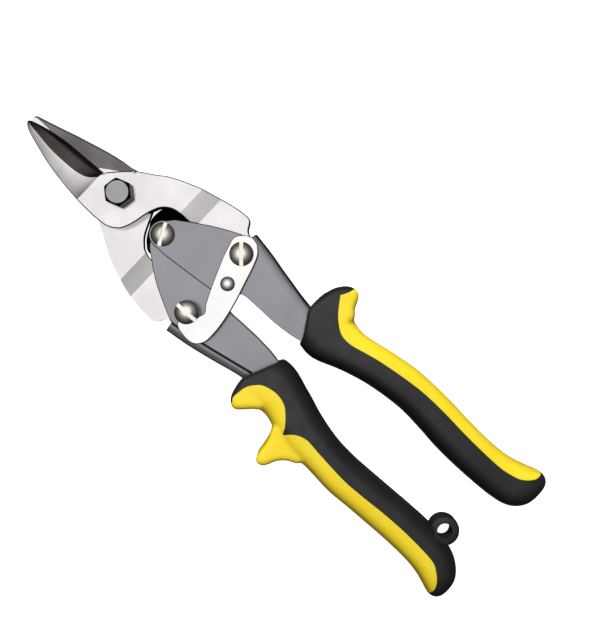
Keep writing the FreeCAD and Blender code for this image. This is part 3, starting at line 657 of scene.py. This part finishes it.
def rivet(p, name, body, node, head_z, tail_z, slot_turn, neck=None):
    """Domed and slotted rivet; from the height neck upwards its shank is thinner."""
    low, high = levels(node)
    tail = head_profile(TAIL_R, tail_z, tail_z - low, -1)
    head = head_profile(HEAD_R, head_z, high - head_z, 1)
    shank = [(SHANK_R, tail_z)]
    if neck:
        shank += [(SHANK_R, neck), (NECK_R, neck)]
    shank += [(shank[-1][0], head_z)]
    made = piece(turned(p, list(reversed(tail)) + shank + head), name, CHROME)
    lengthwise = Vector((math.cos(math.radians(slot_turn)), math.sin(math.radians(slot_turn))))
    across = Vector((-lengthwise.y, lengthwise.x)) * SLOT_W / 2
    lengthwise *= SLOT_REACH
    middle = Vector(p).xy
    corners = [middle + lengthwise * a + across * b for a, b in ((1, 1), (-1, 1), (-1, -1), (1, -1))]
    carve(made, piece(plate(corners, high - SLOT_DEPTH, high + 1), "slot"), "DIFFERENCE")
    edged(made, 0.10, 40)
    return set_in(shaded(made, 40), body, "rivet_chrome", node)


rivet(P1, "handle_rivet_chrome", "left_handle", "handle_pivot_rivet", 5.4, -5.4, -63.0)
rivet(P2, "right_tang_rivet_chrome", "right_handle", "right_tang_rivet", 7.6, -5.3, -46.6)
rivet(P3, "left_tang_rivet_chrome", "left_handle", "left_tang_rivet", 7.1, -3.6, 2.0, neck=5.3)

# ------------------------------------------------------------------ handle channels

NOSE_R = 5.6
RIGHT_WEB = [(-50.0, -25.5), (-60.0, -24.0), (-70.0, -22.0), (-86.0, -19.4), (-100.0, -19.8),
             (-112.0, -21.6)]
RIGHT_INNER = [(-112.0, -13.4), (-106.0, -11.4), (-91.0, -6.6), (-80.0, -5.0), (-70.0, -4.8), (-63.0, -4.4),
               (-59.0, -1.6), (-56.0, 1.4), (-52.0, 2.8), (-40.0, 4.3), (-30.0, 5.4)]
RIGHT_OUTER = [(-23.0, -7.5), (-27.0, -10.3), (-30.0, -12.3), (-35.0, -15.5), (-40.0, -18.3),
               (-45.0, -20.8), (-49.6, -22.8)]
LEFT_WEB = [(-50.0, 27.0), (-60.0, 25.5), (-70.0, 23.4), (-86.0, 19.8), (-100.0, 19.4), (-112.0, 20.6)]
LEFT_INNER = [(-112.0, 12.6), (-106.0, 10.6), (-91.0, 5.4), (-80.0, 4.2), (-70.0, 4.2), (-63.0, 4.2),
              (-59.0, 1.4), (-56.0, -1.4), (-52.0, -2.8), (-40.0, -4.3), (-30.0, -5.4)]
LEFT_OUTER = [(-23.0, 7.6), (-27.0, 10.6), (-30.0, 12.9), (-35.0, 16.2), (-40.0, 18.8),
              (-45.0, 21.2), (-49.6, 23.2)]
SHEET = 1.5
RIGHT_IN = 3.7  # height of each channel's inner face
LEFT_IN = 2.1


def channel(name, web, inner, outer, way, z_in, bend_r, shoulder):
    """Pressed channel: rounded outer bends, hollow inside, open on the inner side."""
    z_out = z_in + SHEET
    plan = outline(web, inner, arc(P1, NOSE_R, -way * 100.0, way * 60.0, 16), outer)
    bm = plate(plan, -z_out, z_out)
    for z in (z_out, -z_out):
        soften(bm, z, bend_r, lambda q: q.x < -50.1 and q.y * way > 18.5, 8)
    made = piece(bm, name, CHANNEL, EDGE_AND_SHADOW, INSIDE_SHADE)
    inside = [(x, y - way * SHEET) for x, y in web]
    hollow = outline(
        inside, [inside[-1], (-125.0, inside[-1][1])], [(-125.0, -way * 40.0), (0.0, -way * 40.0)],
        [(0.0, way * 40.0), (-50.0, way * 40.0)],
    )
    carve(made, piece(plate(hollow, -z_in, z_in, 0.5), "hollow"), "DIFFERENCE")
    # the upper flange drops to a shoulder beside the bend
    wide, drop, slope = shoulder
    shelf = []
    for x, y in web:
        shelf.append([
            at(x, y - way * a, z) for a, z in (
                (wide + slope, z_out + 0.2), (wide + slope, z_out), (wide, z_out - drop), (2.2, z_out - drop),
                (-0.5, z_out - drop - 1.0), (-0.5, z_out + 0.2),
            )
        ])
    front_x = web[0][0] + 12.0
    shelf.insert(0, [p + Vector((front_x - web[0][0], -way * 1.5, 0)) * MM for p in shelf[0]])
    carve(made, piece(loft(shelf), "shelf"), "DIFFERENCE")
    return made


def finish_channel(obj, z_in):
    """Sheared edges are near black, which also paints shadow lines along them; the whole inside is black,
    painted shade.
    """
    z_out = z_in + SHEET
    for face in obj.data.polygons:
        middle = own(face.center)
        # painted shade: every face inside the channel is black
        if abs(middle.z) < z_in + 0.05:
            face.material_index = 2
        # painted shadow: sides and bevels of the front part, and side faces near the middle, are near black
        elif abs(face.normal.z) < 0.96 and abs(middle.z) < z_out and middle.x > -52.0:
            face.material_index = 1
        elif abs(face.normal.z) < 0.6 and abs(middle.y) < 14.0:
            face.material_index = 1


right_channel = channel(
    "right_channel_sheet", RIGHT_WEB, RIGHT_INNER, RIGHT_OUTER, -1, RIGHT_IN, 3.2, (3.6, 0.25, 0.9),
)
left_channel = channel(
    "left_channel_sheet", LEFT_WEB, LEFT_INNER, LEFT_OUTER, 1, LEFT_IN, 2.4, (3.5, 0.75, 0.8),
)
# A lobe on the lower flange fills the notch between the blades; its top takes the black inside colour, a dark
# sheet standing in for the shade there.
notch_shade_lobe = outline(
    smooth([(-31.0, -12.0), (-24.0, -12.0), (-18.0, -10.4), (-14.9, -7.0), (-14.2, -3.0), (-14.7, 0.0),
            (-15.9, 2.0), (-17.6, 5.2), (-19.5, 7.5), (-22.4, 9.6), (-27.0, 9.6), (-31.0, 9.6)]),
)
carve(left_channel, piece(plate(notch_shade_lobe, -3.6, -2.1), "notch_shade_lobe"), "UNION")
relief_box = [(-31.0, 9.6), (-10.0, 9.6), (-10.0, 30.0), (-31.0, 30.0)]
carve(left_channel, piece(plate(relief_box, -5.0, -2.08), "relief"), "DIFFERENCE")
for obj, p, r in (
    (right_channel, P1, 2.55), (right_channel, P2, 2.5), (left_channel, P1, 2.5), (left_channel, P3, 2.5),
):
    carve(obj, piece(plate(arc(p, r, 0, 352.5, 47), -7, 7), "hole"), "DIFFERENCE")
for obj, body, node, z_in in (
    (right_channel, "right_handle", "right_handle_frame", RIGHT_IN),
    (left_channel, "left_handle", "left_handle_frame", LEFT_IN),
):
    edged(obj, 0.36, 38, clamp=False)
    finish_channel(obj, z_in)
    set_in(shaded(obj, 30), body, "frame_plate", node)

# ------------------------------------------------------------------ latch

latch_low, latch_top = levels("latch_plate")
LATCH_T = 1.6
latch_high = latch_low + LATCH_T  # top of the flat plate, below the raised bump
slot_at = Vector((P3.x - (P3.y - P2.y) * math.sin(math.radians(3.5)) - 0.1, P3.y))
slot_r = 2.2
LATCH_OUTLINE = outline(
    [(-53.6, -22.6), (-56.4, -19.8), (-58.4, -15.0), (-60.2, -9.0), (-62.0, -3.0), (-63.2, 1.5),
     (-64.5, 8.0), (-65.1, 14.0), (-64.8, 19.0), (-62.6, 22.3), (-59.5, 23.3), (-56.0, 23.0),
     (-53.5, 22.4), (-51.9, 21.3), (-51.7, 20.2)],
    [(slot_at.x + 0.6, slot_at.y + slot_r), (slot_at.x, slot_at.y + slot_r)],
    [(slot_at.x, slot_at.y + slot_r), (slot_at.x - slot_r * 0.71, slot_at.y + slot_r * 0.71),
     (slot_at.x - slot_r, slot_at.y), (slot_at.x - slot_r - 0.4, 13.4), (-56.8, 11.0), (-55.0, 8.5),
     (-53.0, 4.5), (-51.0, 0.0), (-49.0, -5.0), (-47.0, -10.0), (-45.8, -14.0), (-44.9, -18.4),
     (-47.4, -21.8), (-50.4, -23.2), (-53.6, -22.6)],
)
bm = plate(LATCH_OUTLINE, latch_low, latch_high)


def shadowed_rear(p):
    return p.x < -54.5 + (p.y + 22.0) * -0.16 and p.y < 21.5


soften(bm, latch_high, 0.45, lambda p: True, 4, clamp=False)
latch = piece(bm, "latch_plate_steel", LATCH, EDGE_AND_SHADOW)
# painted shadow: the sides and bevels of the rear rim are near black, standing in for the latch's shadow on
# the flanges below
tinted(latch, 1, lambda p, n: shadowed_rear(p) and -0.5 < n.z < 0.96)
dimple = Vector((-55.6, -3.4))
bump = latch_top - latch_high
ball = (2.9 ** 2 + bump ** 2) / (2 * bump)
reach = math.asin(2.9 / ball)
cap = []
for n in range(9):
    a = reach * (1 - n / 8)
    cap.append((ball * math.sin(a), latch_top - ball + ball * math.cos(a)))
carve(latch, piece(turned(dimple, [(0, latch_high - 0.3), (2.9, latch_high - 0.3)] + cap), "bump"), "UNION")
cup = [(r, z - 1.75) for r, z in cap]
carve(latch, piece(turned(dimple, [(0, latch_low - 1.0), (2.9, latch_low - 1.0)] + cup), "cup"), "DIFFERENCE")
carve(latch, piece(plate(arc(P2, 2.55, 0, 352.5, 47), 4, 9), "hole"), "DIFFERENCE")
set_in(shaded(latch, 35), "latch", "latch_plate_metal", "latch_plate")

# ------------------------------------------------------------------ grips

HALF = 10.15  # half the grip's thickness where its share is 1


def grip_section(x, y_in, y_out, half, power=3.0, count=48):
    mid = (y_in + y_out) / 2
    wide = (y_out - y_in) / 2
    out = []
    for n in range(count):
        a = math.tau * (n + 0.5) / count
        c, s = math.cos(a), math.sin(a)
        out.append(at(
            x, mid + wide * math.copysign(abs(c) ** (2 / power), c),
            half * math.copysign(abs(s) ** (2 / power), s),
        ))
    return out


def grip_body(name, table, lobes, mouth, step=1.0):
    lo = min(r[0] for r in table)
    hi = max(r[0] for r in table)
    count = round((hi - lo) / step)
    sections = []
    for n in range(count + 1):
        x = lo + (hi - lo) * n / count
        y_in, y_out, share = along(table, x)
        sections.append(grip_section(x, y_in, y_out, HALF * share))
    made = piece(loft(sections), name)
    for points, half in lobes:
        carve(made, piece(plate(smooth(points, 0.8, closed=True), -half, half, 2.4, 4), "lobe"), "UNION")
    carve(made, piece(plate(mouth, -30, 30), "mouth"), "DIFFERENCE")
    cast = made.modifiers.new("cast", "REMESH")
    cast.mode = "VOXEL"
    cast.voxel_size = 0.5 * MM
    relax = made.modifiers.new("soften", "SMOOTH")
    relax.factor = 0.5
    relax.iterations = 26
    return settle(made)


LEFT_TABLE = [
    (-82.0, 5.8, 24.0, 0.84), (-88.0, 4.0, 25.8, 0.9), (-93.0, 3.0, 25.6, 0.94),
    (-97.0, 2.9, 24.6, 0.96), (-101.0, 3.7, 24.0, 0.97), (-106.0, 5.3, 25.2, 0.98),
    (-111.0, 6.8, 27.0, 1.0), (-116.0, 8.5, 28.3, 1.0), (-121.0, 9.9, 28.4, 1.0),
    (-126.0, 11.0, 28.1, 1.0), (-132.0, 11.9, 28.4, 1.0), (-140.0, 12.2, 28.9, 1.0),
    (-150.0, 11.8, 28.3, 0.99), (-160.0, 11.3, 27.8, 0.98), (-170.0, 10.8, 27.4, 0.98),
    (-180.0, 10.6, 27.5, 0.98), (-187.0, 11.2, 28.3, 0.98), (-193.0, 12.8, 30.0, 0.98),
    (-197.0, 15.4, 31.2, 0.92), (-199.6, 18.4, 29.8, 0.76), (-200.8, 21.2, 27.4, 0.5),
]
LEFT_GUARD = [(-85.0, 20.0), (-85.4, 23.5), (-86.4, 27.2), (-88.6, 29.8), (-91.2, 30.2), (-93.4, 28.3),
              (-96.0, 25.6), (-99.0, 22.5), (-97.0, 18.0), (-91.0, 15.0), (-86.5, 16.5)]
LEFT_HOOK = [(-107.0, 25.5), (-108.7, 29.5), (-109.5, 34.0), (-110.0, 37.8), (-111.4, 39.5), (-113.8, 39.1),
             (-115.4, 37.0), (-117.0, 33.6), (-120.0, 30.6), (-124.0, 28.2), (-123.0, 22.0), (-115.0, 19.0),
             (-108.0, 20.5)]
LEFT_MOUTH = outline(
    [(-92.6, 1.0), (-91.0, 5.0), (-88.0, 12.0), (-85.4, 18.2), (-85.0, 20.0), (-85.2, 22.5),
     (-86.0, 26.0), (-87.0, 28.4), (-88.6, 29.9), (-89.6, 32.0)],
    [(-78.0, 32.0), (-78.0, 1.0)],
)
RIGHT_TABLE = [
    (-82.0, -7.0, -26.0, 0.84), (-88.0, -6.0, -28.6, 0.9), (-93.0, -5.2, -29.6, 0.94),
    (-98.0, -4.7, -28.2, 0.96), (-102.0, -5.6, -26.9, 0.97), (-106.0, -7.2, -26.1, 0.98),
    (-110.0, -8.8, -26.3, 0.99), (-115.0, -10.4, -27.2, 1.0), (-120.0, -11.8, -28.3, 1.0),
    (-125.0, -12.8, -29.2, 1.0), (-132.0, -13.8, -30.2, 1.0), (-140.0, -14.4, -30.6, 1.0),
    (-150.0, -13.9, -30.5, 0.99), (-160.0, -13.0, -29.9, 0.98), (-170.0, -12.8, -29.5, 0.98),
    (-180.0, -13.1, -29.9, 0.98), (-187.0, -13.6, -31.2, 0.98), (-193.0, -14.6, -33.2, 0.98),
    (-197.0, -16.6, -34.6, 0.92), (-199.8, -20.0, -33.4, 0.76), (-201.0, -23.6, -30.6, 0.5),
]
RIGHT_GUARD = [(-85.2, -19.5), (-85.4, -24.0), (-86.4, -29.5), (-88.4, -33.2), (-91.0, -35.6),
               (-94.2, -36.3), (-96.6, -34.6), (-98.4, -30.6), (-101.0, -27.0), (-99.0, -20.0),
               (-92.0, -16.0), (-87.0, -16.5)]
RIGHT_MOUTH = outline(
    [(-93.0, -3.0), (-91.0, -8.6), (-88.0, -13.5), (-85.7, -17.4), (-85.2, -20.0), (-85.2, -24.0),
     (-85.6, -27.0), (-86.6, -30.2), (-88.2, -33.3), (-90.2, -35.3), (-92.5, -36.5), (-93.0, -38.0)],
    [(-78.0, -38.0), (-78.0, -3.0)],
)
LEFT_SPLIT = outline(
    [(-88.5, 50.0), (-88.5, 28.5)],
    [(-88.5, 28.5), (-87.5, 27.0), (-87.7, 24.0), (-88.5, 20.5), (-90.5, 17.5), (-93.0, 15.5),
     (-97.0, 14.4), (-100.0, 14.3), (-104.0, 15.5), (-107.0, 18.0), (-110.0, 21.5), (-110.9, 23.4),
     (-111.6, 24.2), (-112.2, 23.6), (-113.5, 22.0), (-116.0, 20.2), (-120.0, 19.2), (-127.0, 19.8),
     (-140.0, 20.7), (-150.0, 20.3), (-160.0, 19.5), (-170.0, 19.1), (-180.0, 19.3), (-187.0, 20.0),
     (-190.0, 21.5), (-193.0, 24.0), (-195.0, 27.0), (-195.8, 30.8)],
    [(-195.8, 30.8), (-196.0, 50.0)],
)
RIGHT_SPLIT = outline(
    [(-93.0, -50.0), (-93.0, -36.0)],
    [(-93.0, -36.0), (-92.0, -33.0), (-90.5, -30.3)],
    [(-90.5, -30.3), (-91.0, -29.7), (-92.5, -27.5), (-95.0, -24.3), (-98.0, -21.5), (-101.0, -19.6),
     (-104.0, -19.0), (-107.0, -19.2), (-110.0, -19.9), (-115.0, -21.2), (-120.0, -22.3),
     (-130.0, -23.9), (-140.0, -24.9), (-150.0, -24.9), (-160.0, -24.4), (-170.0, -24.1),
     (-180.0, -24.2), (-185.0, -24.9), (-190.0, -26.5), (-194.0, -30.0), (-196.0, -34.0)],
    [(-196.0, -34.0), (-196.4, -50.0)],
)
EYE = Vector((-184.7, 8.7))


def two_tone(whole, split, body, side):
    inlay = piece(plate(split, -30, 30), "split")
    outer = piece(bmesh.new(), side + "_grip_yellow")
    outer.data = whole.data.copy()
    carve(outer, inlay, "INTERSECT", keep_tool=True)
    carve(whole, inlay, "DIFFERENCE")
    for obj, material, slot, node in (
        (whole, BLACK, "grip_black", side + "_grip"),
        (outer, YELLOW, "grip_yellow", side + "_grip_inlay"),
    ):
        obj.data.materials.clear()
        obj.data.materials.append(material)
        edged(obj, 0.28, 42)
        set_in(shaded(obj, 50), body, slot, node)


left_lobes = [(LEFT_GUARD, 9.0), (LEFT_HOOK, 8.6)]
left_whole = grip_body("left_grip_black", LEFT_TABLE, left_lobes, LEFT_MOUTH)
for low, high in ((3.2, 20.0), (-20.0, -3.2)):
    carve(left_whole, piece(plate(arc(EYE, 5.1, 1, 353.5, 47), low, high), "seat"), "DIFFERENCE")
eye = turned(EYE, [
    (3.0, -3.5), (5.2, -3.5), (5.8, -3.0), (6.0, -2.2), (6.0, 2.2), (5.8, 3.0), (5.2, 3.5), (3.0, 3.5),
    (3.0, -3.5),
])
carve(left_whole, piece(plate(arc(EYE, 3.4, 3, 355.5, 47), -9, 9), "hole"), "DIFFERENCE")
carve(left_whole, piece(eye, "eye"), "UNION")
two_tone(left_whole, LEFT_SPLIT, "left_handle", "left")
right_whole = grip_body("right_grip_black", RIGHT_TABLE, [(RIGHT_GUARD, 9.0)], RIGHT_MOUTH)
two_tone(right_whole, RIGHT_SPLIT, "right_handle", "right")

# ------------------------------------------------------------------ floor, light, camera

floor_mesh = bmesh.new()
bmesh.ops.create_grid(floor_mesh, x_segments=1, y_segments=1, size=4.0)
# matt paper that shows white, but throws almost no light or reflection back on the tool
paper, paper_tree, paper_shader, _ = finish_of("white table, black to the object", 0.0, Roughness=0.9)
paper_shader.inputs["Base Color"].default_value = linear("D8D8D8")
paper_shader.inputs["Emission Color"].default_value = (1, 1, 1, 1)
paper_shader.inputs["Emission Strength"].default_value = 1.0
flagged = add(paper_tree, "ShaderNodeBsdfDiffuse", {"Color": grey(0.05)})
seen = add(paper_tree, "ShaderNodeLightPath").outputs["Is Camera Ray"]
both = add(paper_tree, "ShaderNodeMixShader", {0: seen, 1: flagged.outputs[0], 2: paper_shader.outputs[0]})
paper_tree.links.new(both.outputs[0], paper_tree.nodes["Material Output"].inputs["Surface"])
floor = piece(floor_mesh, "floor", paper)

world = bpy.data.worlds.new("studio")
bpy.context.scene.world = world
world.use_nodes = True
sky = world.node_tree
facing = add(sky, "ShaderNodeTexCoord").outputs["Generated"]
TENT_LEAN = math.radians(11)
tent_axis = (math.sin(TENT_LEAN), 0.0, math.cos(TENT_LEAN))
rise = add(sky, "ShaderNodeVectorMath", {0: facing, 1: tent_axis}, operation="DOT_PRODUCT")
height = rise.outputs["Value"]
# a tent overhead, white at its top and nearly black at the horizon
glow = add(sky, "ShaderNodeValToRGB", {"Fac": height}, (
    (0.0, grey(0.015)), (0.40, grey(0.03)), (0.66, grey(0.12)), (0.80, grey(0.30)), (0.89, grey(0.62)),
    (0.955, grey(1.08)),
))
sky.links.new(glow.outputs["Color"], sky.nodes["Background"].inputs["Color"])
sky.nodes["Background"].inputs["Strength"].default_value = 1.0


def softbox(name, place, target, size, power):
    """Square lamp that lights the tool without being mirrored in its steel."""
    lamp = bpy.data.lights.new(name, "AREA")
    lamp.shape = "SQUARE"
    lamp.size = size
    lamp.energy = power
    obj = bpy.data.objects.new(name, lamp)
    bpy.context.scene.collection.objects.link(obj)
    obj.location = place
    obj.rotation_euler = (Vector(target) - Vector(place)).to_track_quat("-Z", "Y").to_euler()
    obj.visible_glossy = False


softbox("key", (0.80, -0.67, 0.94), (0, 0, 0), 0.40, 22.0)

# camera straight above, turned so the tips point up and left
FOCAL = 665.0
VIEW_H = 623.0
TABLE_STEP = 0.4  # millimetres on the table for one step of the view
LENS_HEIGHT = FOCAL * TABLE_STEP
aim = at(-83.5, -15.0)
lens = bpy.data.cameras.new("camera")
lens.sensor_width = 36.0
lens.lens = 36.0 * FOCAL / VIEW_H
lens.clip_start = 0.01
lens.clip_end = 20.0
camera = bpy.data.objects.new("camera", lens)
bpy.context.scene.collection.objects.link(camera)
turn = math.radians(43.4)
right_dir = Vector((-math.cos(turn), -math.sin(turn), 0))
up_dir = Vector((math.sin(turn), -math.cos(turn), 0))
back_dir = right_dir.cross(up_dir)
facing_matrix = Matrix((right_dir, up_dir, back_dir)).transposed().to_4x4()
camera.matrix_world = Matrix.Translation(aim + Vector((0, 0, LENS_HEIGHT * MM))) @ facing_matrix
bpy.context.scene.camera = camera
bpy.context.scene.view_settings.view_transform = "Standard"
